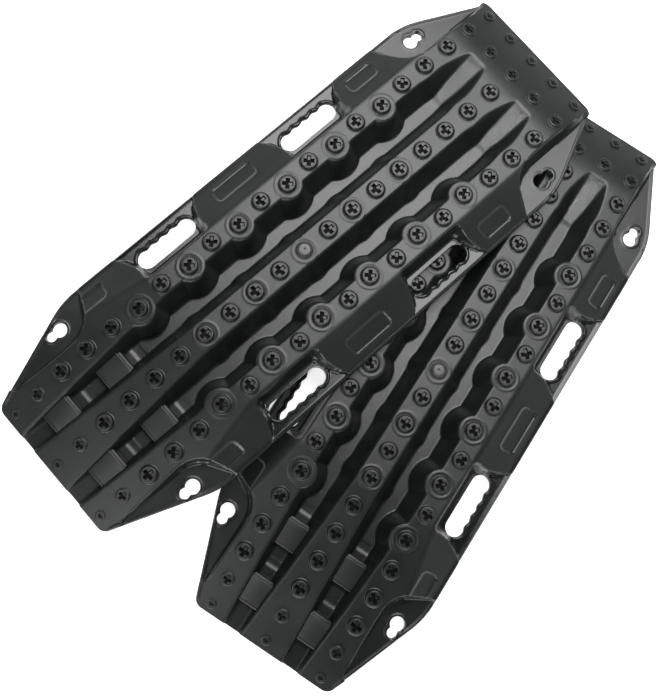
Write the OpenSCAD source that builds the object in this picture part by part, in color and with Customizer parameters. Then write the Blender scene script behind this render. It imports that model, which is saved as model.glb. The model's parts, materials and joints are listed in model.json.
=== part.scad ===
// A pair of vehicle traction boards, one lying fanned out across the other.
// Each board is a thin moulded deck: three studded ridges with two channels between them,
// four hand slots and four keyholes in its low flanges, and pressed-in tread studs.
// Frame: +X runs from the ramp nose to the tail of the lower board, +Y to its left, and +Z up.
// The origin is on the ground, under the middle of the box that holds the pair.
// Each board is drawn with its centre button over the origin, and placed() then lays it down.

/* [Board] */
// Length from the nose edge to the tail edge
board_l = 990; // [960:1:1040]
// Width across the hand slots
board_w = 368; // [356:1:390]
// Height of the ridge tops above the ground
ridge_z = 50; // [42:0.5:56]
// Thickness of the moulded skin
skin = 4; // [3:0.5:5]
// Height of the low flange around the hand slots and keyholes
flange_z = 10; // [9:0.5:14]

/* [Channels] */
// Distance of each channel from the middle of the board
channel_y = 51.5; // [49:0.5:54]
// Width of a channel at its floor
floor_w = 24; // [18:0.5:28]
// Sideways run of a channel wall for each millimetre of its height
draft = 0.42; // [0.34:0.01:0.46]

/* [Studs] */
// Distance between two studs along a row
pitch = 48; // [47:0.5:49]
// Diameter of a stud at its foot
stud_d = 30; // [26:0.5:31]
// Height of a full stud
stud_h = 7; // [4:0.5:9]
// Diameter and length of the shank under a stud, as a part of the stud's diameter
shank_ratio = 0.4; // [0.3:0.01:0.45]

/* [Openings] */
// Length of a hand slot
slot_l = 106; // [90:1:112]
// Width of a hand slot
slot_w = 29.5; // [24:0.5:31]
// Radius of the large hole of a keyhole
key_r = 11.5; // [10:0.25:13]
// Radius of the small hole of a keyhole
key_small_r = 8.2; // [7:0.1:9]

/* [Stacking] */
// Turn of the upper board, seen from above
fan_angle = -15.4; // [-17:0.1:-14]
// Distance of the upper board along the lower board
fan_x = 31; // [26:1:38]
// Distance of the upper board across the lower board
fan_y = 268.5; // [262:0.5:276]
// Gap between the lower studs and the upper board
stack_gap = 0.5; // [0.4:0.1:2]

/* [Hidden] */
$fn = 48;
eps = 0.5;
tall = 90;
nose_x = -board_l * 0.494;
tail_x = nose_x + board_l;
half_w = board_w / 2;
floor_z = skin;
ridge_half = 118.5;
rim_z = flange_z + 2;

// Outline corners on the left side: the ends, and the shoulders where the sides start to taper
nose_y = 118;
nose_shoulder_x = nose_x + 168;
tail_y = 122;
tail_shoulder_x = tail_x - 130;
end_r = 16;
shoulder_r = 130;

// Side view of the ridge tops: a long slope to the nose and a short curl at the tail
slope_x = -205;
nose_z = 11;
curl_x = 392;
tail_z = 18;

// Ramp at the tail end of each channel
ramp_x = [328, 408];
ramp_w = [floor_w, 32];
// Sideways growth of a channel for each millimetre it is grown by
wall_growth = 0.9;

// Hand slots, keyholes and badge recesses, by their centres on the left side
slot_x = [-3 * pitch, 3 * pitch];
slot_y = 151.5;
slot_bumps = 4;
slot_bump = 2.5;
// Low pocket around a hand slot: its band along the slot, how far its straight inner side stops
// short of the slot's ends, how far each end opens out, and how far it runs past the edge
slot_band = 8;
slot_inset = 2;
pocket_flare = 90;
pocket_past = 20;
key_x = [-350, 364];
key_y = 153;
key_step = 15;
// Thick ring of deck around a keyhole
key_ring = 5;
// Low pocket of a tapered corner: its inner and back sides by their distance from the keyhole, its
// far end at the nose and at the tail, the radius of its inner corner and the lean of its inner side
corner_in = 26;
corner_back = 28;
corner_far = [nose_x + 34, tail_x - 12];
corner_r = 24;
corner_lean = 3;
// Run of its back and far sides, along the board and out past the edge
corner_back_run = 69;
corner_far_run = 90;
corner_out = 120;
badge_x = [-285, -6, 255];
badge_l = [50, 76, 54];
badge_y = 154;
badge_w = 26;
badge_depth = 2;
badge_r = 7;

// Studs, by their count from the centre button
row_y = 99;
boss_row_y = 93;
side_boss = [-5, -3, -1, 1, 3, 5];
centre_boss = [-4, -2, 0, 2, 4];
side_boss_r = [23, 41.5];
centre_boss_r = [21, 42.5];
tail_inner_x = pitch * 9;
tail_edge_x = tail_x - 17;
tail_pitch = 49.5;
// How much a stud's diameter shrinks for each millimetre of its height
stud_taper = 1.1;
// Recessed cross: length and width of its arms, as parts of the stud's diameter, and its depth
cross_ratio = [0.54, 0.18];
cross_depth = 3;
// Dimple in the middle of the plain button
dimple_d = 3;

// Channel cleats: the nose edge of each one, and the heights of its nose edge and its lip
front_cleat = [-448, 15.5, 20];
rear_cleat = [-350, 17, 20];
cleat_l = 50;
cleat_gap = 0.4;
// Bevel behind a cleat's lip: its length at the lip and at its foot, and its drop
lip_back = 9;
lip_foot = 4;
lip_drop = 7;

stack_z = ridge_z + stud_h + stack_gap;
BOARDS = ["lower", "upper"];
PARTS = [
    "deck", "left_studs", "centre_studs", "right_studs", "centre_button",
    "nose_studs", "tail_inner_studs", "tail_edge_studs",
    "front_left_cleat", "front_right_cleat", "rear_left_cleat", "rear_right_cleat"
];

function mix(a, b, t) = a + (b - a) * t;
// Height of the ridge tops at x: a cosine-eased slope to the nose, a quarter wave at the tail
function nose_t(x) = max(0, min(1, (slope_x - x) / (slope_x - nose_x)));
function tail_t(x) = max(0, min(1, (x - curl_x) / (tail_x - curl_x)));
function top_z(x) = ridge_z
    - (ridge_z - nose_z) * (1.25 * nose_t(x) - 0.25 * sin(90 * nose_t(x)))
    - (ridge_z - tail_z) * (1 - cos(90 * tail_t(x)));
function top_tilt(x) = atan2(top_z(x - 1) - top_z(x + 1), 2);

// Points of an arc that rounds the corner b between the points a and c
function unit(v) = v / norm(v);
function rounded(a, b, c, r, n = 8) =
    let (
        u = unit(a - b),
        v = unit(c - b),
        half = acos(u * v) / 2,
        centre = b + unit(u + v) * r / sin(half),
        from = b + u * r / tan(half) - centre,
        to = b + v * r / tan(half) - centre,
        start = atan2(from.y, from.x),
        turn = atan2(from.x * to.y - from.y * to.x, from * to)
    )
    [for (i = [0:n]) centre + r * [cos(start + turn * i / n), sin(start + turn * i / n)]];

// Left half of the board's outline, moved in by g; the slanted ends keep their direction
function outline_corners(g) =
    let (
        nose_a = atan2(half_w - nose_y, nose_shoulder_x - nose_x),
        tail_a = atan2(half_w - tail_y, tail_x - tail_shoulder_x)
    )
    [
        [nose_x + g, nose_y + g * tan(nose_a) - g / cos(nose_a)],
        [nose_shoulder_x + g * (1 / cos(nose_a) - 1) / tan(nose_a), half_w - g],
        [tail_shoulder_x - g * (1 / cos(tail_a) - 1) / tan(tail_a), half_w - g],
        [tail_x - g, tail_y + g * tan(tail_a) - g / cos(tail_a)]
    ];
function left_outline(g) =
    let (c = outline_corners(g))
    concat(
        [[nose_x + g, 0]],
        rounded([nose_x + g, 0], c[0], c[1], end_r - g),
        rounded(c[0], c[1], c[2], shoulder_r - g),
        rounded(c[1], c[2], c[3], shoulder_r - g),
        rounded(c[2], c[3], [tail_x - g, 0], end_r - g),
        [[tail_x - g, 0]]
    );

// Mirrors its children to the other side of the board as well
module both_sides() {
    children();
    mirror([0, 1, 0]) children();
}

module outline(g) {
    both_sides() linear_extrude(tall) polygon(left_outline(g));
}

// Side view of the board under the ridge tops, lowered by g
module profile(g) {
    steps = 14;
    points = concat(
        [[nose_x, -eps]],
        [for (i = [0:steps]) let (x = mix(nose_x, slope_x, i / steps)) [x, top_z(x) - g]],
        [for (i = [0:steps]) let (x = mix(curl_x, tail_x, i / steps)) [x, top_z(x) - g]],
        [[tail_x, -eps]]
    );
    translate([0, board_w, 0]) rotate([90, 0, 0]) linear_extrude(2 * board_w) polygon(points);
}

// End view of the board without its channels, moved in by g
module section(g) {
    slant = norm([ridge_z - rim_z, half_w - ridge_half]) / (half_w - ridge_half);
    points = [
        [-half_w + g, -eps],
        [-half_w + g, rim_z - g],
        [-ridge_half + g / slant, ridge_z - g],
        [ridge_half - g / slant, ridge_z - g],
        [half_w - g, rim_z - g],
        [half_w - g, -eps]
    ];
    translate([nose_x, 0, 0]) rotate([90, 0, 90]) linear_extrude(board_l) polygon(points);
}

// Cone that carries a stud out over a channel, made narrower by g
module boss(k, y, radii, g) {
    translate([pitch * k, y, floor_z])
        cylinder(h = ridge_z - floor_z + eps, r1 = radii[1] - g, r2 = radii[0] - g);
}

module bosses(g) {
    both_sides() for (k = side_boss) boss(k, boss_row_y, side_boss_r, g);
    for (k = centre_boss) boss(k, 0, centre_boss_r, g);
}

// One channel, grown by g: a straight trough and the wedge over its tail ramp
module channel(g) {
    deep = floor_z - g;
    side = g * wall_growth;
    rise = tall - deep;
    half = floor_w / 2 + side;
    translate([nose_x - eps, channel_y, deep]) rotate([90, 0, 90])
        linear_extrude(ramp_x[0] - nose_x + eps)
            polygon([[-half, 0], [half, 0], [half + rise * draft, rise], [-half - rise * draft, rise]]);
    far_half = ramp_w[1] / 2 + side;
    far_z = ridge_z - g;
    far_rise = tall - far_z;
    translate([0, channel_y, 0]) polyhedron(
        points = [
            for (s = [-1, 1]) [ramp_x[0], s * half, deep],
            for (s = [-1, 1]) [ramp_x[1], s * far_half, far_z],
            for (s = [-1, 1]) [ramp_x[0], s * (half + rise * draft), tall],
            for (s = [-1, 1]) [ramp_x[1], s * (far_half + far_rise * draft), tall]
        ],
        faces = [[0, 2, 3, 1], [4, 5, 7, 6], [0, 1, 5, 4], [2, 6, 7, 3], [0, 4, 6, 2], [1, 3, 7, 5]]
    );
}

// Low pocket around a hand slot, grown by g, from its straight inner side out past the edge
module hand_pocket(x, g) {
    inner = slot_y - slot_w / 2 - slot_band - g;
    half = slot_l / 2 - slot_inset + g;
    depth = half_w + pocket_past - inner;
    steps = 6;
    side = [
        for (i = [0:steps]) let (a = 90 * i / steps) [half + pocket_flare * (1 - cos(a)), depth * sin(a)]
    ];
    points = concat(side, [for (i = [0:steps]) [-side[steps - i].x, side[steps - i].y]]);
    translate([x, inner, flange_z - g]) linear_extrude(tall) polygon(points);
}

// Low pocket of a tapered corner, grown by g; end is -1 at the nose and 1 at the tail
module corner_pocket(x, end, g) {
    inner = key_y - corner_in - g;
    back = x - end * (corner_back + g);
    far = (end < 0 ? corner_far[0] : corner_far[1]) + end * g;
    start = [back - end * corner_back_run, inner + corner_out];
    points = concat(
        [start],
        rounded(start, [back, inner], [far, inner - corner_lean], corner_r + g, 5),
        [[far, inner - corner_lean], [far + end * corner_far_run, inner + corner_out]]
    );
    translate([0, 0, flange_z - g]) linear_extrude(tall) polygon(points);
}

module pockets(g) {
    both_sides() {
        for (x = slot_x) hand_pocket(x, g);
        corner_pocket(key_x[0], -1, g);
        corner_pocket(key_x[1], 1, g);
    }
}

// Everything under the top surface, with the whole surface moved in by g
module body(g) {
    difference() {
        intersection() {
            outline(g);
            profile(g);
            section(g);
        }
        difference() {
            both_sides() channel(g);
            bosses(g);
        }
        pockets(g);
    }
}

// Hand slot: round ends, a straight inner side and finger waves on the outer side
module hand_slot(x) {
    r = slot_w / 2;
    n = 8 * slot_bumps;
    run = slot_l - slot_w;
    wave = [for (i = [1:n - 1]) let (t = i / n)
        [run * (0.5 - t), r - slot_bump * (1 - cos(360 * slot_bumps * t)) / 2]];
    points = concat(
        [for (i = [0:12]) let (a = -90 + 15 * i) [run / 2 + r * cos(a), r * sin(a)]],
        wave,
        [for (i = [0:12]) let (a = 90 + 15 * i) [-run / 2 + r * cos(a), r * sin(a)]]
    );
    translate([x, slot_y, -eps]) linear_extrude(tall) polygon(points);
}

module keyhole(x, end, g = 0) {
    translate([x, key_y, -eps]) {
        cylinder(h = flange_z + 2 * eps, r = key_r + g);
        translate([end * key_step, 0, 0]) cylinder(h = flange_z + 2 * eps, r = key_small_r + g);
    }
}

// Shallow blank badge recess in the side slope
module badge(x, l) {
    a = atan2(ridge_z - rim_z, half_w - ridge_half);
    z = rim_z + (half_w - badge_y) * tan(a);
    r = badge_r;
    translate([x, badge_y, z]) rotate([-a, 0, 0]) translate([0, 0, -badge_depth]) {
        translate([-l / 2, -badge_w / 2 + r, 0]) cube([l, badge_w - 2 * r, 20]);
        translate([-l / 2 + r, -badge_w / 2, 0]) cube([l - 2 * r, badge_w, 20]);
        for (u = [-1, 1], v = [-1, 1])
            translate([u * (l / 2 - r), v * (badge_w / 2 - r), 0]) cylinder(h = 20, r = r);
    }
}

// Puts its children on the ridge top at x, square to the surface
module on_top(x, y) {
    translate([x, y, top_z(x)]) rotate([0, top_tilt(x), 0]) children();
}

// Where the studs of each group stand, as [x, y, foot diameter, height, turn of the cross]
function full_stud(k, y) = [pitch * k, y, stud_d, stud_h, k % 4 == 0 ? 0 : (k % 2 == 0 ? 45 : -45)];
function centre_stud(k) = [pitch * k, 0, stud_d, stud_h, 0];
function has(list, k) = len([for (v = list) if (v == k) v]) > 0;
function side_y(k) = has(side_boss, k) ? boss_row_y : row_y;
left_row = [for (k = [-8:8]) full_stud(k, side_y(k))];
right_row = [for (k = [-8:8]) full_stud(k, -side_y(k))];
centre_row = [for (k = [-8:8]) if (k != 0) centre_stud(k)];
nose_group = [for (y = [-97, 0, 97], s = [[-9, 22, 3.5], [-9.9, 14, 1.5]]) [pitch * s[0], y, s[1], s[2], 0]];
tail_inner = [for (j = [-2:2]) [tail_inner_x, tail_pitch * j, 24, 4, 0]];
tail_edge = [for (j = [-2:2]) [tail_edge_x, tail_pitch * j, 18, 2, 0]];
button = [[0, 0, stud_d - 2, stud_h, 0]];
all_studs = concat(left_row, centre_row, right_row, nose_group, tail_inner, tail_edge, button);

module stud(d, h, turn, plain = false) {
    top_d = d - stud_taper * h;
    shank = shank_ratio * d;
    difference() {
        union() {
            cylinder(h = h, d1 = d, d2 = top_d);
            translate([0, 0, -shank]) cylinder(h = shank + h / 2, d = shank);
        }
        if (plain)
            translate([0, 0, h - 1]) cylinder(h = 2, d = dimple_d);
        else
            rotate(turn) translate([0, 0, h - min(cross_depth, 0.6 * h)]) for (a = [0, 90])
                rotate(a) translate(-cross_ratio * d / 2)
                    cube([cross_ratio.x * d, cross_ratio.y * d, cross_depth + 1]);
    }
}

module studs(list, plain = false) {
    color([0.16, 0.17, 0.17]) for (s = list) on_top(s[0], s[1]) stud(s[2], s[3], s[4], plain);
}

module deck() {
    color([0.22, 0.23, 0.23]) difference() {
        body(0);
        difference() {
            translate([0, 0, -eps]) body(skin);
            both_sides() {
                keyhole(key_x[0], -1, key_ring);
                keyhole(key_x[1], 1, key_ring);
            }
        }
        both_sides() {
            for (x = slot_x) hand_slot(x);
            keyhole(key_x[0], -1);
            keyhole(key_x[1], 1);
            for (i = [0:2]) badge(badge_x[i], badge_l[i]);
        }
        for (s = all_studs) on_top(s[0], s[1])
            translate([0, 0, -shank_ratio * s[2]]) cylinder(h = tall, d = shank_ratio * s[2]);
    }
}

// Wedge cleat across a channel: its top rises towards the tail and ends in a bevelled lip
module cleat(spec, side) {
    low = spec[1] - floor_z;
    lip = spec[2] - floor_z;
    side_view = [
        [0, 0], [cleat_l - lip_foot, 0], [cleat_l, lip - lip_drop], [cleat_l - lip_back, lip], [0, low]
    ];
    half = floor_w / 2 - cleat_gap;
    reach = lip * draft;
    color([0.19, 0.2, 0.2]) translate([spec[0], side * channel_y, floor_z]) intersection() {
        translate([0, board_w / 2, 0]) rotate([90, 0, 0]) linear_extrude(board_w) polygon(side_view);
        rotate([90, 0, 90]) linear_extrude(cleat_l)
            polygon([[-half, 0], [half, 0], [half + reach, lip], [-half - reach, lip]]);
    }
}

module part(name) {
    if (name == "deck") deck();
    if (name == "left_studs") studs(left_row);
    if (name == "centre_studs") studs(centre_row);
    if (name == "right_studs") studs(right_row);
    if (name == "centre_button") studs(button, plain = true);
    if (name == "nose_studs") studs(nose_group);
    if (name == "tail_inner_studs") studs(tail_inner);
    if (name == "tail_edge_studs") studs(tail_edge);
    if (name == "front_left_cleat") cleat(front_cleat, 1);
    if (name == "front_right_cleat") cleat(front_cleat, -1);
    if (name == "rear_left_cleat") cleat(rear_cleat, 1);
    if (name == "rear_right_cleat") cleat(rear_cleat, -1);
}

// Middle of the pair seen from above, from the outlines of both boards
half_outline = left_outline(0);
plan = [for (p = half_outline, s = [-1, 1]) [p.x, s * p.y]];
turned = [for (p = plan) [
    fan_x + p.x * cos(fan_angle) - p.y * sin(fan_angle),
    fan_y + p.x * sin(fan_angle) + p.y * cos(fan_angle)
]];
both = concat(plan, turned);
low = [min([for (p = both) p.x]), min([for (p = both) p.y])];
high = [max([for (p = both) p.x]), max([for (p = both) p.y])];
middle = (low + high) / 2;

// The upper board is the same board, turned, shifted and laid on the lower studs
module placed(board) {
    translate([-middle.x, -middle.y, 0])
        if (board == "upper") translate([fan_x, fan_y, stack_z]) rotate(fan_angle) children();
        else children();
}

for (b = BOARDS, p = PARTS) placed(b) part(p);
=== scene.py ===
"""Two moulded traction boards, one lying fanned across the other, on a pale studio floor.

Board coordinates are millimetres: +X to the tail, +Y to the left, the origin on the ground under
the centre button. placement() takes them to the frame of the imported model, in metres.
"""
import json
import math

import bpy
import numpy as np
from mathutils import Matrix, Vector, geometry


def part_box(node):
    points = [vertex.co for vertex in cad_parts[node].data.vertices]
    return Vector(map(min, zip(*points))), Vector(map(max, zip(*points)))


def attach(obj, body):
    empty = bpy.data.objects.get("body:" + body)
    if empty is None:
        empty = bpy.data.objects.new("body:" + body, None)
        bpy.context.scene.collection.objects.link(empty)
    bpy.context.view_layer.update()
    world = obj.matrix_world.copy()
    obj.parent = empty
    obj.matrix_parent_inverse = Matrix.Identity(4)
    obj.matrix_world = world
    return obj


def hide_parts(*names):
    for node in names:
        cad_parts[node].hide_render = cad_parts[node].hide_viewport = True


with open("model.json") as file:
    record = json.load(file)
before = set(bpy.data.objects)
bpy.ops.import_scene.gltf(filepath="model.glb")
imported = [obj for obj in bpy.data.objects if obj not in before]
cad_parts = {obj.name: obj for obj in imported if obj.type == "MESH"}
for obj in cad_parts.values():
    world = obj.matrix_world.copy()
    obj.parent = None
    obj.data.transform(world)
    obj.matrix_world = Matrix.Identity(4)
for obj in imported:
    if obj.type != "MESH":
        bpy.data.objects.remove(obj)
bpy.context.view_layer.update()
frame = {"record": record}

BOARDS = ("lower", "upper")
PITCH = 48.0

# Deck
NOSE_X, TAIL_X = -489.06, 500.94
HALF_W = 184.0
RIDGE_Z, NOSE_Z, TAIL_Z, RIM_Z, FLANGE_Z, SKIN = 50.0, 11.0, 18.0, 12.0, 10.0, 4.0
SLOPE_X, CURL_X = -205.0, 392.0
RIDGE_HALF = 118.5
CHANNEL_Y, FLOOR_HALF, DRAFT = 51.5, 12.0, 0.42
RAMP_X = (328.0, 408.0)
# Smooth blend at the foot of the ramp, and how far its walls lean more towards the tail
RAMP_BLEND, RAMP_LEAN = 5.0, 0.8
# Low steps in the channel floors around the cleats, as (start, end, rise), and their half width
FLOOR_STEPS = ((-401, -384, 0.7), (-381, -370, -0.7), (-306, -291, 0.6), (-289, -276, -0.6))
STEP_HALF = 1.2
# Width of a cell of the deck's surface grid
CELL = 2.0

# Outline corners on the left side: the ends, the shoulders, and the radius of each
NOSE_Y, TAIL_Y = 118.0, 122.0
NOSE_SHOULDER_X, TAIL_SHOULDER_X = NOSE_X + 168, TAIL_X - 130
END_R, SHOULDER_R = 16, 130

# Studs
SIDE_BOSSES = (-5, -3, -1, 1, 3, 5)
CENTRE_BOSSES = (-4, -2, 0, 2, 4)
BOSS_Y, ROW_Y = 93.0, 99.0
# Radius of a boss at the ridge top and at the channel floor, and radius and half width of its collar
SIDE_BOSS, CENTRE_BOSS = (23, 41.5, 19.0, 2.6), (21, 42.5, 18.2, 2.4)
BOSS_RISE, COLLAR_Z = 46.5, 0.7
TAIL_ROWS = ((PITCH * 9, 24.0, 4.0), (TAIL_X - 17, 18.0, 2.0))
TAIL_PITCH = 49.5
NOSE_Y_ROW = 97.0
ROUND = 48

# Openings
SLOT_X, SLOT_Y, SLOT_L, SLOT_W = (-144.0, 144.0), 151.5, 106.0, 29.5
SLOT_WAVES, SLOT_WAVE = 4, 2.5
# Low pocket around a hand slot: its inner side, half its length there, and how its ends open out
POCKET_Y, POCKET_HALF, POCKET_DEPTH, POCKET_FLARE, POCKET_BLEND = 128.75, 51, 75.25, 90.0, 9
KEYHOLES = ((-350.0, -1), (364.0, 1))
KEY_Y, KEY_R, KEY_SMALL_R, KEY_STEP = 153.0, 11.5, 8.2, 15.0
BADGES = ((-285.0, 50.0), (-6.0, 76.0), (255.0, 54.0))
BADGE_Y, BADGE_W, BADGE_R, BADGE_LEAN = 154.0, 26.0, 7, 0.12
BADGE_DEPTH = 2.6
# Far end of a low corner pocket at the nose and at the tail, and the blend of its inner corner
CORNER_FAR, CORNER_BLEND = (NOSE_X + 34, TAIL_X - 12), 24

# Raised beads, as (height, distance from the edge, half width)
EDGE_BEAD, SLOT_BEAD = (2.2, 2.6, 2.8), (2.0, 2.4, 2.6)
KEY_BEAD, BADGE_BEAD = (1.0, 2.2, 2.2), (0.7, 1.8, 1.8)
# How much more the mould is polished in the pockets of the hand slots than in the channels
POCKET_POLISH = 2.2


def smin(a, b, k):
    """The smaller of two heights, blended where they are within k of each other."""
    h = np.clip(0.5 + 0.5 * (b - a) / k, 0, 1)
    return b * (1 - h) + a * h - k * h * (1 - h)


def smax(a, b, k):
    return -smin(-a, -b, k)


def step(a, b, x):
    """0 up to a, 1 from b on, and smooth between them."""
    t = np.clip((x - a) / (b - a), 0, 1)
    return t * t * (3 - 2 * t)


def bump(x, half):
    """1 at x = 0, falling smoothly to 0 at +-half."""
    return 1 - step(0, half, np.abs(x))


def bead(distance, spec):
    height, place, half = spec
    return height * bump(distance - place, half)


def crown_z(x):
    """Height of the ridge tops: a long slope to the nose and a short curl at the tail."""
    n = np.clip((SLOPE_X - x) / (SLOPE_X - NOSE_X), 0, 1)
    t = np.clip((x - CURL_X) / (TAIL_X - CURL_X), 0, 1)
    fall = (RIDGE_Z - NOSE_Z) * (1.25 * n - 0.25 * np.sin(n * math.pi / 2))
    return RIDGE_Z - fall - (RIDGE_Z - TAIL_Z) * (1 - np.cos(t * math.pi / 2))


def corner_arc(a, b, c, r, n=8):
    """Points of an arc that rounds the corner b between a and c."""
    a, b, c = (np.array(p, float) for p in (a, b, c))
    u, v = (a - b) / np.linalg.norm(a - b), (c - b) / np.linalg.norm(c - b)
    half = math.acos(float(u @ v)) / 2
    centre = b + (u + v) / np.linalg.norm(u + v) * r / math.sin(half)
    p, q = b + u * r / math.tan(half) - centre, b + v * r / math.tan(half) - centre
    start, turn = math.atan2(p[1], p[0]), math.atan2(p[0] * q[1] - p[1] * q[0], float(p @ q))
    return [
        (centre[0] + r * math.cos(start + turn * i / n), centre[1] + r * math.sin(start + turn * i / n))
        for i in range(n + 1)
    ]


def left_outline():
    """Left half of the outline, from nose to tail, with its two ends carried past the middle."""
    past = -60.0
    ends = [(NOSE_X, past), (NOSE_X, NOSE_Y), (NOSE_SHOULDER_X, HALF_W)]
    ends += [(TAIL_SHOULDER_X, HALF_W), (TAIL_X, TAIL_Y), (TAIL_X, past)]
    points = [ends[0]]
    for i, r in ((1, END_R), (2, SHOULDER_R), (3, SHOULDER_R), (4, END_R)):
        points += corner_arc(ends[i - 1], ends[i], ends[i + 1], r)
    return np.array(points + [ends[-1]])


OUTLINE = left_outline()


def inside_outline(x, y):
    """Distance from the board's edge, positive on the board."""
    p = np.stack([x, np.abs(y)], -1)
    best = np.full(x.shape, 1e9)
    side = np.zeros(x.shape)
    for a, b in zip(OUTLINE[:-1], OUTLINE[1:]):
        e = b - a
        t = np.clip(((p - a) @ e) / (e @ e), 0, 1)
        d = p - a - t[..., None] * e
        dist = np.hypot(d[..., 0], d[..., 1])
        s = -(e[0] * (p[..., 1] - a[1]) - e[1] * (p[..., 0] - a[0])) / np.linalg.norm(e)
        nearer = dist < best - 1e-9
        best = np.where(nearer, dist, best)
        side = np.where(nearer, s, side)
    return np.where(side >= 0, best, -best)


def slot_distance(x, y):
    """Distance from the nearest hand slot: negative in the slot."""
    v = np.abs(y) - SLOT_Y
    run, r = (SLOT_L - SLOT_W) / 2, SLOT_W / 2
    best = np.full(x.shape, 1e9)
    for sx in SLOT_X:
        u = x - sx
        phase = (0.5 - u / (2 * run)) * 2 * SLOT_WAVES * math.pi
        wave = r - SLOT_WAVE * (1 - np.cos(phase)) / 2
        slope = -SLOT_WAVE / 2 * np.sin(phase) * SLOT_WAVES * math.pi / run
        outer = (v - wave) / np.sqrt(1 + slope**2)
        middle = np.maximum(outer, -v - r)
        ends = np.hypot(np.maximum(np.abs(u) - run, 0), v) - r
        best = np.minimum(best, np.where(np.abs(u) < run, middle, ends))
    return best


def keyhole_distance(x, y):
    """Distance from the nearest keyhole, which is two overlapping circles."""
    v = np.abs(y) - KEY_Y
    best = np.full(x.shape, 1e9)
    for kx, end in KEYHOLES:
        best = np.minimum(best, np.hypot(x - kx, v) - KEY_R)
        best = np.minimum(best, np.hypot(x - kx - end * KEY_STEP, v) - KEY_SMALL_R)
    return best


def hand_pocket_distance(x, y):
    """Distance outside the low pocket around a hand slot, negative in it."""
    ay = np.abs(y)
    best = np.full(x.shape, 1e9)
    s = np.clip((ay - POCKET_Y) / POCKET_DEPTH, 0, 0.98)
    half = POCKET_HALF + POCKET_FLARE * (1 - np.sqrt(1 - s * s))
    slope = POCKET_FLARE * s / np.sqrt(1 - s * s) / POCKET_DEPTH
    for sx in SLOT_X:
        side = (np.abs(x - sx) - half) / np.sqrt(1 + slope**2)
        best = np.minimum(best, smax(POCKET_Y - ay, side, POCKET_BLEND))
    return best


def corner_pocket(x, y):
    """Distance outside the low floor of a tapered corner, negative in it."""
    ay = np.abs(y)
    best = np.full(x.shape, 1e9)
    inner = KEY_Y - 26
    for (kx, end), far in zip(KEYHOLES, CORNER_FAR):
        u = (x - kx) * end
        reach = (far - kx) * end
        # three straight sides, each as a point on it and its outward direction
        sides = [
            ((-36.0, inner + 14), (-0.87, -0.5)),
            ((0.0, inner - 1), (-2.0 / reach, -1.0)),
            ((reach, inner - 3), (0.8, -0.6)),
        ]
        d = None
        for (px, py), (nx, ny) in sides:
            side = ((u - px) * nx + (ay - py) * ny) / math.hypot(nx, ny)
            d = side if d is None else smax(d, side, CORNER_BLEND if nx < 0.5 else 4)
        best = np.minimum(best, d)
    return best


def badge_distance(x, y):
    """Distance from the nearest blank badge recess, a rounded rectangle that leans with the slope."""
    ay = np.abs(y)
    best = np.full(x.shape, 1e9)
    for bx, length in BADGES:
        lean = (ay - BADGE_Y) * BADGE_LEAN
        u = np.abs(x - bx - lean) - length / 2 + BADGE_R
        v = np.abs(ay - BADGE_Y) - BADGE_W / 2 + BADGE_R
        d = np.hypot(np.maximum(u, 0), np.maximum(v, 0)) + np.minimum(np.maximum(u, v), 0) - BADGE_R
        best = np.minimum(best, d)
    return best


def pocket_wall(d):
    """Height over a pocket's floor at distance d outside it: a wall with a narrow ledge in it."""
    lower = np.clip(d, 0, 2.4) / 0.26
    upper = np.maximum(d - 4.0, 0) / 0.2
    return lower + upper


def bosses(x, y):
    """Distance from the axis of each boss, with the sizes of the boss."""
    for k in SIDE_BOSSES:
        yield np.hypot(x - PITCH * k, np.abs(y) - BOSS_Y), SIDE_BOSS
    for k in CENTRE_BOSSES:
        yield np.hypot(x - PITCH * k, y), CENTRE_BOSS


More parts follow.
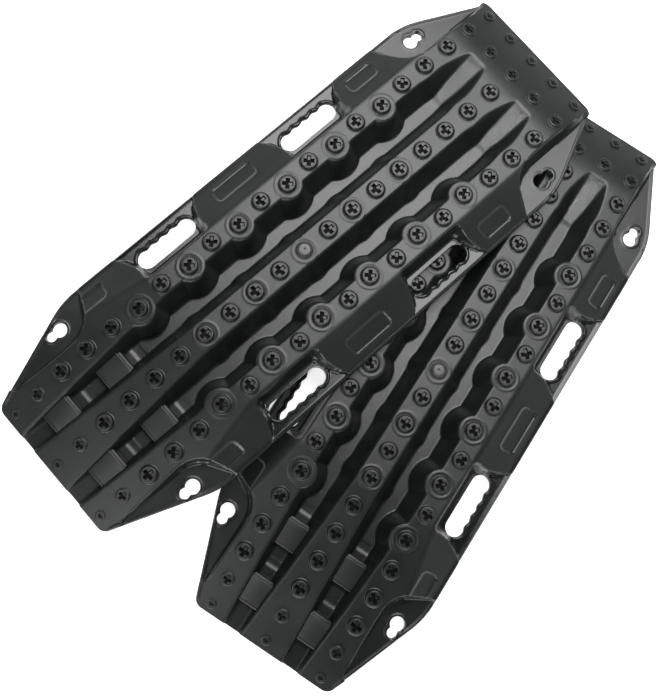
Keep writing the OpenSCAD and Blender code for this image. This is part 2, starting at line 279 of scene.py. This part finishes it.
def top_z(x, y):
    """Height of the deck's upper surface."""
    ay = np.abs(y)
    crown = crown_z(x)
    slope = RIDGE_Z + (RIM_Z - RIDGE_Z) * (ay - RIDGE_HALF) / (HALF_W - RIDGE_HALF)
    z = smin(crown, slope, 3.0)

    # channels, with the stud bosses standing out over them
    s = np.abs(ay - CHANNEL_Y)
    t = np.clip((x - RAMP_X[0]) / (RAMP_X[1] - RAMP_X[0]), 0, 1)
    rise = SKIN + (RIDGE_Z - SKIN) * (x - RAMP_X[0]) / (RAMP_X[1] - RAMP_X[0])
    floor = smax(np.full(x.shape, SKIN), rise, RAMP_BLEND)
    floor = np.minimum(floor, RIDGE_Z + 4)
    for a, b, height in FLOOR_STEPS:
        on = step(a - STEP_HALF, a + STEP_HALF, x)
        floor = floor + height * on * (1 - step(b - STEP_HALF, b + STEP_HALF, x))
    half = FLOOR_HALF + 4 * t - 2.0 * bump(x - RAMP_X[0] - 4, 26)
    trough = smax(floor, floor + (s - half) / (DRAFT * (1 + RAMP_LEAN * t)), 4.0)
    for r, (top_r, foot_r, _, _) in bosses(x, y):
        trough = smax(trough, SKIN + (foot_r - r) / (foot_r - top_r) * BOSS_RISE, 2.0)
    z = smin(z, trough, 2.4)

    # low raised collar round each boss stud
    for r, (_, _, collar_r, collar_half) in bosses(x, y):
        z = z + COLLAR_Z * bump(r - collar_r, collar_half)

    # blank badge recesses with a fine raised border
    d = badge_distance(x, y)
    z = z - BADGE_DEPTH * (1 - step(-1.4, 0.4, d)) + bead(d, BADGE_BEAD)

    # low pockets and the raised bead round each opening and along the board's edge
    d = hand_pocket_distance(x, y)
    z = smin(z, FLANGE_Z + pocket_wall(d), 1.2)
    d = corner_pocket(x, y)
    z = smin(z, FLANGE_Z + pocket_wall(d), 1.2)
    edge = inside_outline(x, y)
    low = 1 - step(FLANGE_Z + 2, FLANGE_Z + 8, z)
    z = z + low * bead(edge, EDGE_BEAD) * step(118, 124, ay)
    # the straight inner side of a hand slot has no bead
    z = z + low * bead(slot_distance(x, y), SLOT_BEAD) * step(SLOT_Y - 10, SLOT_Y - 2, ay)
    z = z + low * bead(keyhole_distance(x, y), KEY_BEAD)
    return z


def under_z(x, y):
    """Height of the underside: the skin is equally thick everywhere, and its edges turn down."""
    low = np.full(x.shape, 1e9)
    low = np.minimum(low, top_z(x, y) - SKIN)
    for r, n in ((2.0, 6), (3.5, 10)):
        drop = math.sqrt(SKIN**2 - r**2)
        for i in range(n):
            a = 2 * math.pi * (i + 0.5) / n
            low = np.minimum(low, top_z(x + r * math.cos(a), y + r * math.sin(a)) - drop)
    low = np.maximum(low, 0)
    low = np.where(inside_outline(x, y) < 4.0, 0.0, low)
    low = np.where(keyhole_distance(x, y) < 5.0, 0.0, low)
    return np.where(slot_distance(x, y) < 3.0, np.minimum(low, 2.5), low)


def edge_field(p):
    """Negative on the plastic, zero on its outline and on the rims of its openings."""
    x, y = p[:, 0], p[:, 1]
    return np.maximum(-inside_outline(x, y), np.maximum(-slot_distance(x, y), -keyhole_distance(x, y)))


def deck_mesh():
    """Vertices, triangles and polish of the deck in board millimetres: a grid whose points are pulled
    onto every outline, cut there, and closed with an underside and edge walls."""
    nx, ny = round((TAIL_X - NOSE_X) / CELL), round(2 * HALF_W / CELL)
    gx, gy = np.linspace(NOSE_X, TAIL_X, nx + 1), np.linspace(-HALF_W, HALF_W, ny + 1)
    p = np.stack(np.meshgrid(gx, gy, indexing="ij"), -1).reshape(-1, 2)
    f = edge_field(p)
    near = np.abs(f) < 0.56 * CELL
    q, h = p[near], 0.02
    for _ in range(4):
        v = edge_field(q)
        dx = (edge_field(q + [h, 0]) - edge_field(q - [h, 0])) / (2 * h)
        dy = (edge_field(q + [0, h]) - edge_field(q - [0, h])) / (2 * h)
        n2 = np.maximum(dx * dx + dy * dy, 0.2)
        q = q - np.stack([v * dx / n2, v * dy / n2], -1)
        q[:, 0] = np.clip(q[:, 0], NOSE_X, TAIL_X)
        q[:, 1] = np.clip(q[:, 1], -HALF_W, HALF_W)
    p[near] = q
    f[near] = 0
    z = top_z(p[:, 0], p[:, 1])

    i, j = np.meshgrid(np.arange(nx), np.arange(ny), indexing="ij")
    a = (i * (ny + 1) + j).ravel()
    b, c, d = a + ny + 1, a + ny + 2, a + 1
    across = np.abs(z[b] - z[d]) < np.abs(z[a] - z[c]) - 1e-6
    cut = (f[a] > 0) | (f[b] > 0) | (f[c] > 0) | (f[d] > 0)
    across = np.where(cut, (f[b] == 0) & (f[d] == 0), across)
    one = np.where(across[:, None], np.stack([a, b, d], -1), np.stack([a, b, c], -1))
    two = np.where(across[:, None], np.stack([b, c, d], -1), np.stack([a, c, d], -1))
    tris = np.concatenate([one, two])
    tris = tris[(f[tris] <= 0).all(1)]
    on_edge = (f[tris] == 0).all(1)
    middle = p[tris].mean(1)
    tris = tris[~on_edge | (edge_field(middle) < -0.05)]
    e1, e2 = p[tris[:, 1]] - p[tris[:, 0]], p[tris[:, 2]] - p[tris[:, 0]]
    tris = tris[e1[:, 0] * e2[:, 1] - e1[:, 1] * e2[:, 0] > 1e-3]

    used, tris = np.unique(tris, return_inverse=True)
    tris = tris.reshape(-1, 3)
    p, z = p[used], z[used]
    n = len(p)
    below = under_z(p[:, 0], p[:, 1])
    below = np.minimum(below, z - 1.2)
    edges = np.concatenate([tris[:, [0, 1]], tris[:, [1, 2]], tris[:, [2, 0]]])
    key = edges.min(1) * n + edges.max(1)
    _, first, count = np.unique(key, return_index=True, return_counts=True)
    rim = edges[first[count == 1]]
    walls = np.concatenate([
        np.stack([rim[:, 1], rim[:, 0], rim[:, 0] + n], -1),
        np.stack([rim[:, 1], rim[:, 0] + n, rim[:, 1] + n], -1),
    ])
    verts = np.concatenate([np.column_stack([p, z]), np.column_stack([p, below])])
    smooth = step(3.0, 9.0, crown_z(verts[:, 0]) - verts[:, 2])
    smooth = smooth + POCKET_POLISH * (1 - step(0.0, 2.0, hand_pocket_distance(verts[:, 0], verts[:, 1])))
    faces = np.concatenate([tris, tris[:, ::-1] + n, walls])
    return verts, faces, smooth


class Shape:
    """Vertices and faces being collected, in millimetres."""

    def __init__(self):
        self.verts, self.faces, self.recess = [], [], []

    def add(self, verts, faces, matrix=None, recess=()):
        start, first = len(self.verts), len(self.faces)
        for v in verts:
            self.verts.append(matrix @ Vector(v) if matrix else Vector(v))
        self.faces += [tuple(start + i for i in f) for f in faces]
        self.recess += [first + i for i in recess]

    def rings(self, profile, n=ROUND):
        """Revolved profile of (radius, z), from its outside round to its last ring; gives that ring."""
        start = len(self.verts)
        for r, z in profile:
            for i in range(n):
                a = 2 * math.pi * i / n
                self.verts.append(Vector((r * math.cos(a), r * math.sin(a), z)))
        for k in range(len(profile) - 1):
            for i in range(n):
                j = (i + 1) % n
                p, q = start + k * n, start + (k + 1) * n
                self.faces.append((p + i, p + j, q + j, q + i))
        return list(range(start, start + n)), list(range(len(self.verts) - n, len(self.verts)))


def cross_outline(reach, half, grow=0.0):
    """The twelve corners of a cross, counter-clockwise, with each quarter turned from the last."""
    a, b = reach + grow, half + grow
    return [
        (b, a), (-b, a), (-b, b), (-a, b), (-a, -b), (-b, -b),
        (-b, -a), (b, -a), (b, -b), (a, -b), (a, b), (b, b),
    ]


def head_profile(d, h):
    """Stud from its shank's end, under the head, up its stepped side to the ring round the cross."""
    r, top, shank = d / 2, (d - 1.1 * h) / 2, 0.2 * d
    low = [(shank * 0.8, -0.4 * d), (shank, -0.4 * d + 1.2), (shank, -0.6), (r, -0.6)]
    side = [(r + 0.1, 0.10 * h), (r - 0.5, 0.17 * h), (r - 1.2, 0.2 * h)]
    side += [(top + 1.3, 0.78 * h), (top + 0.9, 0.9 * h), (top + 0.2, 0.985 * h), (top - 0.6, h)]
    return low + side + [(top - 1.1, h), (top - 1.5, h - 0.35)]


def stud(d, h, turn):
    """Tread stud with a stepped cross recess in its dished top."""
    s = Shape()
    bottom, ring = s.rings(head_profile(d, h))
    s.faces.append(tuple(reversed(bottom)))
    depth = 0.78 * h
    level = h - 0.35
    grow = 0.35
    half = 0.098 * d
    room = math.hypot(s.verts[ring[0]].x, s.verts[ring[0]].y) - 0.4
    reach = min(0.285 * d, math.sqrt(room**2 - (half + grow) ** 2) - grow)
    outer = cross_outline(reach, half, grow)
    first = len(s.verts)
    inner_floor = cross_outline(reach - 0.4, half - 0.3)
    for points, z in ((outer, level), (cross_outline(reach, half), level - grow), (inner_floor, h - depth)):
        for x, y in points:
            s.verts.append(Vector((x, y, z)))
    n = len(outer)
    for k in range(2):
        for i in range(n):
            j = (i + 1) % n
            p, q = first + k * n, first + (k + 1) * n
            s.faces.append((p + i, p + j, q + j, q + i))
    dark = len(s.faces) - n
    base = first + 2 * n
    s.faces += [
        tuple(base + i for i in (0, 1, 2, 11)), tuple(base + i for i in (2, 3, 4, 5)),
        tuple(base + i for i in (5, 6, 7, 8)), tuple(base + i for i in (8, 9, 10, 11)),
        tuple(base + i for i in (2, 5, 8, 11)),
    ]
    # the walls and floor of the cross take a separate near-black, dull material: painted shade standing in
    # for the shadow deep in the cross recess
    s.recess = list(range(dark, len(s.faces)))
    # the flat between the ring and the cross
    loop = ring + list(range(first, first + n))
    points = [Vector((s.verts[i].x, s.verts[i].y)) for i in loop]
    m = len(ring)
    bounds = [(i, (i + 1) % m) for i in range(m)] + [(m + i, m + (i + 1) % n) for i in range(n)]
    _, _, tris, origin, _, _ = geometry.delaunay_2d_cdt(points, bounds, [], 0, 1e-6)
    index = {k: (o[0] if o else None) for k, o in enumerate(origin)}
    a, b = reach + grow, half + grow
    for t in tris:
        x = sum(points[index[k]].x for k in t) / 3
        y = sum(points[index[k]].y for k in t) / 3
        if not ((abs(x) < a and abs(y) < b) or (abs(x) < b and abs(y) < a)):
            s.faces.append(tuple(loop[index[k]] for k in t))
    # raised block in one arm
    step_z = h - depth * 0.55
    near, far, side = half * 0.55, reach * 0.86, half * 0.72
    box = [(near, -side), (far, -side), (far, side), (near, side)]
    lower = [(x, y, h - depth - 0.2) for x, y in box]
    upper = [(x * 0.97 + 0.1, y * 0.9, step_z) for x, y in box]
    block = [(0, 1, 5, 4), (1, 2, 6, 5), (2, 3, 7, 6), (3, 0, 4, 7), (4, 5, 6, 7), (3, 2, 1, 0)]
    s.add(lower + upper, block)
    out = Shape()
    out.add(s.verts, s.faces, Matrix.Rotation(math.radians(turn), 4, "Z"), s.recess)
    return out


def button():
    """Plain button: a ring and a groove round a domed disc with a small dimple beside its middle."""
    s = Shape()
    profile = [(4.5, -11.2), (5.6, -10), (5.6, -0.6), (14.0, -0.6), (14.1, 0.6), (13.6, 1.2), (12.9, 1.4)]
    profile += [(11.6, 4.6), (11.2, 5.4), (10.7, 5.6), (10.2, 5.4), (9.9, 5.0), (9.7, 5.6), (9.4, 6.3)]
    profile += [(8.8, 6.7), (7.6, 6.85), (6.4, 6.93), (5.2, 6.97), (4.2, 6.99)]
    profile += [(r, 7.0) for r in (3.4, 2.6, 1.8, 1.0, 0.4)]
    bottom, ring = s.rings(profile)
    s.faces += [tuple(reversed(bottom)), tuple(ring)]
    for v in s.verts:
        if v.z > 6.5:
            v.z -= 0.9 * math.exp(-((v.x - 0.9) ** 2 + (v.y - 0.6) ** 2) / 1.3)
    return s


def cleat(spec):
    """Wedge cleat across a channel: a thin ledge at its nose edge and a rounded double lip."""
    low, lip = spec
    run = 41.0
    view = [(0, low - 2.4), (0.3, low - 1.2), (1.2, low - 0.5), (3.0, low - 0.3), (3.4, low - 0.9)]
    view += [(4.0, low - 0.9), (4.5, low - 0.1), (5.2, low + 0.1)]
    rise = lip - low - 0.5
    view += [(5.2 + (run - 8.0) * i / 6, low + 0.1 + rise * (i / 6) ** 1.15) for i in range(1, 7)]
    view += [(39.4, lip - 0.1), (40.6, lip + 0.2), (41.8, lip + 0.15), (42.8, lip - 0.5), (43.4, lip - 1.7)]
    view += [(44.2, lip - 2.1), (45.4, lip - 1.9), (46.6, lip - 2.2), (47.6, lip - 3.2), (48.6, lip - 6.0)]
    view += [(49.8, lip - 9.0)]
    s = Shape()
    for x, z in view:
        z = max(z, SKIN + 2)
        half = FLOOR_HALF - 0.5
        top = half + (z - SKIN) * DRAFT
        taper = 1 - 0.10 * step(43.5, 50, np.float64(x))
        r = 1.6
        section = [(-half * taper, SKIN)]
        section += [
            (-(top * taper - r + r * math.sin(a)), z - r + r * math.cos(a))
            for a in (math.radians(v) for v in (78, 52, 26, 0))
        ]
        section += [(-y, zz) for y, zz in reversed(section)]
        for y, zz in section:
            s.verts.append(Vector((x, y, zz)))
    count = len(s.verts) // len(view)
    for k in range(len(view) - 1):
        for i in range(count):
            j = (i + 1) % count
            p, q = k * count, (k + 1) * count
            s.faces.append((p + i, q + i, q + j, p + j))
    last = (len(view) - 1) * count
    s.faces += [tuple(range(count)), tuple(last + i for i in reversed(range(count)))]
    return s


def placement(board):
    """Matrix from board millimetres to the frame, from the places of the board's keyholes."""
    pins = {m["name"]: Vector(m["pos_m"]) for m in frame["record"]["mounts"]}
    ends = []
    for end in ("nose", "tail"):
        ends.append((pins[f"{board}_left_{end}_keyhole"] + pins[f"{board}_right_{end}_keyhole"]) / 2)
    along = (ends[1] - ends[0]).normalized()
    middle = (KEYHOLES[0][0] + KEYHOLES[1][0]) / 2 * 0.001
    origin = (ends[0] + ends[1]) / 2 - along * middle
    origin.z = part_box(board + "_deck")[0].z
    turn = Matrix.Rotation(math.atan2(along.y, along.x), 4, "Z")
    return Matrix.Translation(origin) @ turn @ Matrix.Scale(0.001, 4)


def make_object(name, verts, faces, matrix, material):
    verts = np.array(verts, float).reshape(-1, 3)
    m = np.array(matrix)
    verts = verts @ m[:3, :3].T + m[:3, 3]
    mesh = bpy.data.meshes.new(name)
    mesh.from_pydata(verts.tolist(), [], [tuple(int(i) for i in f) for f in faces])
    mesh.update()
    obj = bpy.data.objects.new(name, mesh)
    bpy.context.scene.collection.objects.link(obj)
    mesh.materials.append(material)
    return obj


def sharpen(obj, degrees):
    """Smooth shading with an edge wherever two faces meet at more than this angle."""
    mesh = obj.data
    mesh.shade_smooth()
    mesh.set_sharp_from_angle(angle=math.radians(degrees))


def node_input(node, name, value):
    node.inputs[name].default_value = value


def node_input_at(node, index, value):
    node.inputs[index].default_value = value


def plastic(name, base, spread, roughness, grain, grain_scale, polished=0.0, specular=0.5):
    """Moulded plastic: a fine leathery grain, faint flow clouds and slightly uneven gloss, and a
    roughness that is less by polished where the mesh says that the mould was polished."""
    mat = bpy.data.materials.new(name)
    mat.use_nodes = True
    nodes, links = mat.node_tree.nodes, mat.node_tree.links
    shader = nodes["Principled BSDF"]
    node_input(shader, "Specular IOR Level", specular)
    node_input(shader, "IOR", 1.5)
    coords = nodes.new("ShaderNodeTexCoord")

    def noise(scale, detail, rough=0.55):
        n = nodes.new("ShaderNodeTexNoise")
        node_input(n, "Scale", scale)
        node_input(n, "Detail", detail)
        node_input(n, "Roughness", rough)
        links.new(coords.outputs["Object"], n.inputs["Vector"])
        return n

    def ramp(source, low, high, a, b):
        r = nodes.new("ShaderNodeMapRange")
        node_input(r, "From Min", low)
        node_input(r, "From Max", high)
        node_input(r, "To Min", a)
        node_input(r, "To Max", b)
        links.new(source, r.inputs["Value"])
        return r

    clouds, speck = noise(14, 3), noise(900, 2)
    tint = nodes.new("ShaderNodeValToRGB")
    tint.color_ramp.elements[0].position, tint.color_ramp.elements[1].position = 0.3, 0.72
    tint.color_ramp.elements[0].color = (*[c * (1 - spread) for c in base], 1)
    tint.color_ramp.elements[1].color = (*[c * (1 + spread) for c in base], 1)
    links.new(clouds.outputs["Fac"], tint.inputs["Fac"])
    links.new(tint.outputs["Color"], shader.inputs["Base Color"])

    uneven = nodes.new("ShaderNodeMath")
    uneven.operation = "ADD"
    drift = ramp(clouds.outputs["Fac"], 0.3, 0.7, -0.03, 0.03)
    level = ramp(speck.outputs["Fac"], 0.3, 0.7, roughness - 0.03, roughness + 0.03)
    links.new(drift.outputs["Result"], uneven.inputs[0])
    links.new(level.outputs["Result"], uneven.inputs[1])
    gloss = uneven
    if polished:
        low = nodes.new("ShaderNodeAttribute")
        low.attribute_name = "polished"
        gloss = nodes.new("ShaderNodeMath")
        gloss.operation = "MULTIPLY_ADD"
        node_input_at(gloss, 1, -polished)
        links.new(low.outputs["Fac"], gloss.inputs[0])
        links.new(uneven.outputs["Value"], gloss.inputs[2])
    links.new(gloss.outputs["Value"], shader.inputs["Roughness"])

    fine = noise(grain_scale, 3, 0.6)
    bump_fine = nodes.new("ShaderNodeBump")
    node_input(bump_fine, "Strength", grain)
    node_input(bump_fine, "Distance", 0.0003)
    links.new(fine.outputs["Fac"], bump_fine.inputs["Height"])
    wave = noise(38, 2)
    bump_wave = nodes.new("ShaderNodeBump")
    node_input(bump_wave, "Strength", 0.25)
    node_input(bump_wave, "Distance", 0.0006)
    links.new(wave.outputs["Fac"], bump_wave.inputs["Height"])
    links.new(bump_fine.outputs["Normal"], bump_wave.inputs["Normal"])
    links.new(bump_wave.outputs["Normal"], shader.inputs["Normal"])
    return mat


# The near-black plastic takes its tone from what it mirrors, so its base colours are very dark
MATERIALS = {
    "deck_plastic": plastic("deck_plastic", (0.0065, 0.0078, 0.0072), 0.15, 0.38, 0.35, 1400, 0.07),
    "stud_plastic": plastic("stud_plastic", (0.0060, 0.0070, 0.0066), 0.15, 0.38, 0.25, 1700),
    "button_plastic": plastic("button_plastic", (0.03, 0.032, 0.03), 0.10, 0.36, 0.18, 1900),
    # Near-black, rough and dull material for the studs' cross recesses: painted shade for the shadow in
    # their depths
    "stud_recess_painted_shade": plastic("stud_recess_painted_shade", (0.002, 0.0022, 0.0021), 0.15, 0.85, 0.3, 1700, specular=0.2),
    "cleat_plastic": plastic("cleat_plastic", (0.0075, 0.0085, 0.008), 0.15, 0.42, 0.3, 1500),
}

# Studs of each node, as (x, y, foot diameter, height, turn of the cross)


def cross_turn(k):
    return 0 if k % 4 == 0 else (45 if k % 2 == 0 else -45)


def side_row(side):
    return [
        (PITCH * k, side * (BOSS_Y if k in SIDE_BOSSES else ROW_Y), 30.0, 7.0, cross_turn(k))
        for k in range(-8, 9)
    ]


STUDS = {
    "left_studs": side_row(1),
    "centre_studs": [(PITCH * k, 0.0, 30.0, 7.0, 0) for k in range(-8, 9) if k],
    "right_studs": side_row(-1),
    "nose_studs": [
        (PITCH * k, y, d, h, 0)
        for y in (-NOSE_Y_ROW, 0.0, NOSE_Y_ROW)
        for k, d, h in ((-9, 22.0, 3.5), (-9.9, 14.0, 1.5))
    ],
    "tail_inner_studs": [(TAIL_ROWS[0][0], TAIL_PITCH * j, *TAIL_ROWS[0][1:], 0) for j in range(-2, 3)],
    "tail_edge_studs": [(TAIL_ROWS[1][0], TAIL_PITCH * j, *TAIL_ROWS[1][1:], 0) for j in range(-2, 3)],
}
CLEATS = {"front": (-448.0, (15.5, 20.0)), "rear": (-350.0, (17.0, 20.0))}


def on_crown(x, y):
    """Matrix that stands a stud on the ridge top, square to it."""
    rise = float(crown_z(np.float64(x - 1)) - crown_z(np.float64(x + 1)))
    tilt = Matrix.Rotation(math.atan2(rise, 2), 4, "Y")
    return Matrix.Translation((x, y, float(crown_z(np.float64(x))))) @ tilt


def add_piece(board, part, verts, faces, slot, degrees, recess=()):
    name = f"{board}_{part}"
    obj = make_object("moulded_" + name, verts, faces, placement(board), MATERIALS[slot])
    # the recess faces take the near-black material that paints shade into the studs' cross recesses
    if len(recess):
        obj.data.materials.append(MATERIALS["stud_recess_painted_shade"])
        for i in recess:
            obj.data.polygons[i].material_index = 1
    sharpen(obj, degrees)
    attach(obj, board + "_board")
    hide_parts(name)
    return obj


deck_verts, deck_faces, deck_smooth = deck_mesh()
made = {}
for board in BOARDS:
    deck = add_piece(board, "deck", deck_verts, deck_faces, "deck_plastic", 62)
    low = deck.data.attributes.new("polished", "FLOAT", "POINT")
    low.data.foreach_set("value", deck_smooth.astype(np.float32))
    for part, places in STUDS.items():
        group = Shape()
        for x, y, d, h, turn in places:
            if (d, h, turn) not in made:
                made[d, h, turn] = stud(d, h, turn)
            one = made[d, h, turn]
            group.add(one.verts, one.faces, on_crown(x, y), one.recess)
        add_piece(board, part, group.verts, group.faces, "stud_plastic", 38, group.recess)
    plain = Shape()
    one = button()
    plain.add(one.verts, one.faces, on_crown(0, 0))
    add_piece(board, "centre_button", plain.verts, plain.faces, "button_plastic", 38)
    for end, (x, spec) in CLEATS.items():
        one = cleat(spec)
        for side, sign in (("left", 1), ("right", -1)):
            wedge = Shape()
            wedge.add(one.verts, one.faces, Matrix.Translation((x, sign * CHANNEL_Y, 0)))
            add_piece(board, f"{end}_{side}_cleat", wedge.verts, wedge.faces, "cleat_plastic", 40)


# Floor, lights and camera
def floor():
    mesh = bpy.data.meshes.new("studio_floor")
    r, z = 30.0, -0.0004
    mesh.from_pydata([(-r, -r, z), (r, -r, z), (r, r, z), (-r, r, z)], [], [(0, 1, 2, 3)])
    obj = bpy.data.objects.new("studio_floor", mesh)
    bpy.context.scene.collection.objects.link(obj)
    mat = bpy.data.materials.new("studio_floor")
    mat.use_nodes = True
    shader = mat.node_tree.nodes["Principled BSDF"]
    node_input(shader, "Base Color", (0.9, 0.9, 0.9, 1))
    node_input(shader, "Roughness", 0.8)
    node_input(shader, "Emission Color", (1, 1, 1, 1))
    node_input(shader, "Emission Strength", 0.7)
    mesh.materials.append(mat)


def area_light(name, place, target, size, power, spread=180):
    data = bpy.data.lights.new(name, "AREA")
    data.shape = "RECTANGLE"
    data.size, data.size_y = size
    data.energy = power
    data.spread = math.radians(spread)
    obj = bpy.data.objects.new(name, data)
    obj.location = place
    obj.rotation_mode = "QUATERNION"
    obj.rotation_quaternion = (Vector(target) - Vector(place)).to_track_quat("-Z", "Y")
    bpy.context.scene.collection.objects.link(obj)


floor()
# A large softbox that the tail half mirrors, a strip for the nose edge, one light that the ramps of
# each board mirror, and a low fill for the walls
area_light("tail_softbox", (0.67, 0.18, 1.45), (0.67, 0.18, 0), (1.15, 1.44), 40)
area_light("nose_softbox", (-1.45, 0.3, 1.45), (-0.9, 0.2, 0), (0.3, 1.2), 9)
area_light("upper_ramp_light", (-0.49, 0.48, 1.45), (0.36, 0.0, 0), (0.3, 0.3), 0.16, 20)
area_light("lower_ramp_light", (-0.66, -0.33, 1.45), (0.34, -0.17, 0), (0.3, 0.3), 0.16, 20)
area_light("floor_fill", (-1.9, -0.7, 0.55), (-0.3, 0, 0), (1.6, 0.5), 22)

# The room is bright towards the horizon and nearly dark overhead
world = bpy.data.worlds.new("studio")
world.use_nodes = True
sky, sky_links = world.node_tree.nodes, world.node_tree.links
where = sky.new("ShaderNodeTexCoord")
split = sky.new("ShaderNodeSeparateXYZ")
fade = sky.new("ShaderNodeMapRange")
node_input(fade, "From Min", 0.25)
node_input(fade, "From Max", 0.85)
node_input(fade, "To Min", 0.6)
node_input(fade, "To Max", 0.03)
sky_links.new(where.outputs["Generated"], split.inputs["Vector"])
sky_links.new(split.outputs["Z"], fade.inputs["Value"])
sky_links.new(fade.outputs["Result"], sky["Background"].inputs["Strength"])
node_input(sky["Background"], "Color", (0.96, 0.98, 1.0, 1))
bpy.context.scene.world = world
bpy.context.scene.view_settings.view_transform = "Standard"

cam_data = bpy.data.cameras.new("camera")
cam_data.lens = 47.64
cam_data.shift_x, cam_data.shift_y = 0.0286, -0.06
place = Vector((-0.29666, -0.03585, 1.45021))
cam_data.sensor_width = 36.0
cam_data.clip_start, cam_data.clip_end = 0.01, 50
cam = bpy.data.objects.new("camera", cam_data)
back = Vector((-0.17105, -0.05464, 0.98375)).normalized()
up = Vector((0.81969, 0.54610, 0.17286))
right = up.cross(back).normalized()
up = back.cross(right)
cam.matrix_world = Matrix((
    (right.x, up.x, back.x, place.x),
    (right.y, up.y, back.y, place.y),
    (right.z, up.z, back.z, place.z),
    (0, 0, 0, 1),
))
bpy.context.scene.collection.objects.link(cam)
bpy.context.scene.camera = cam
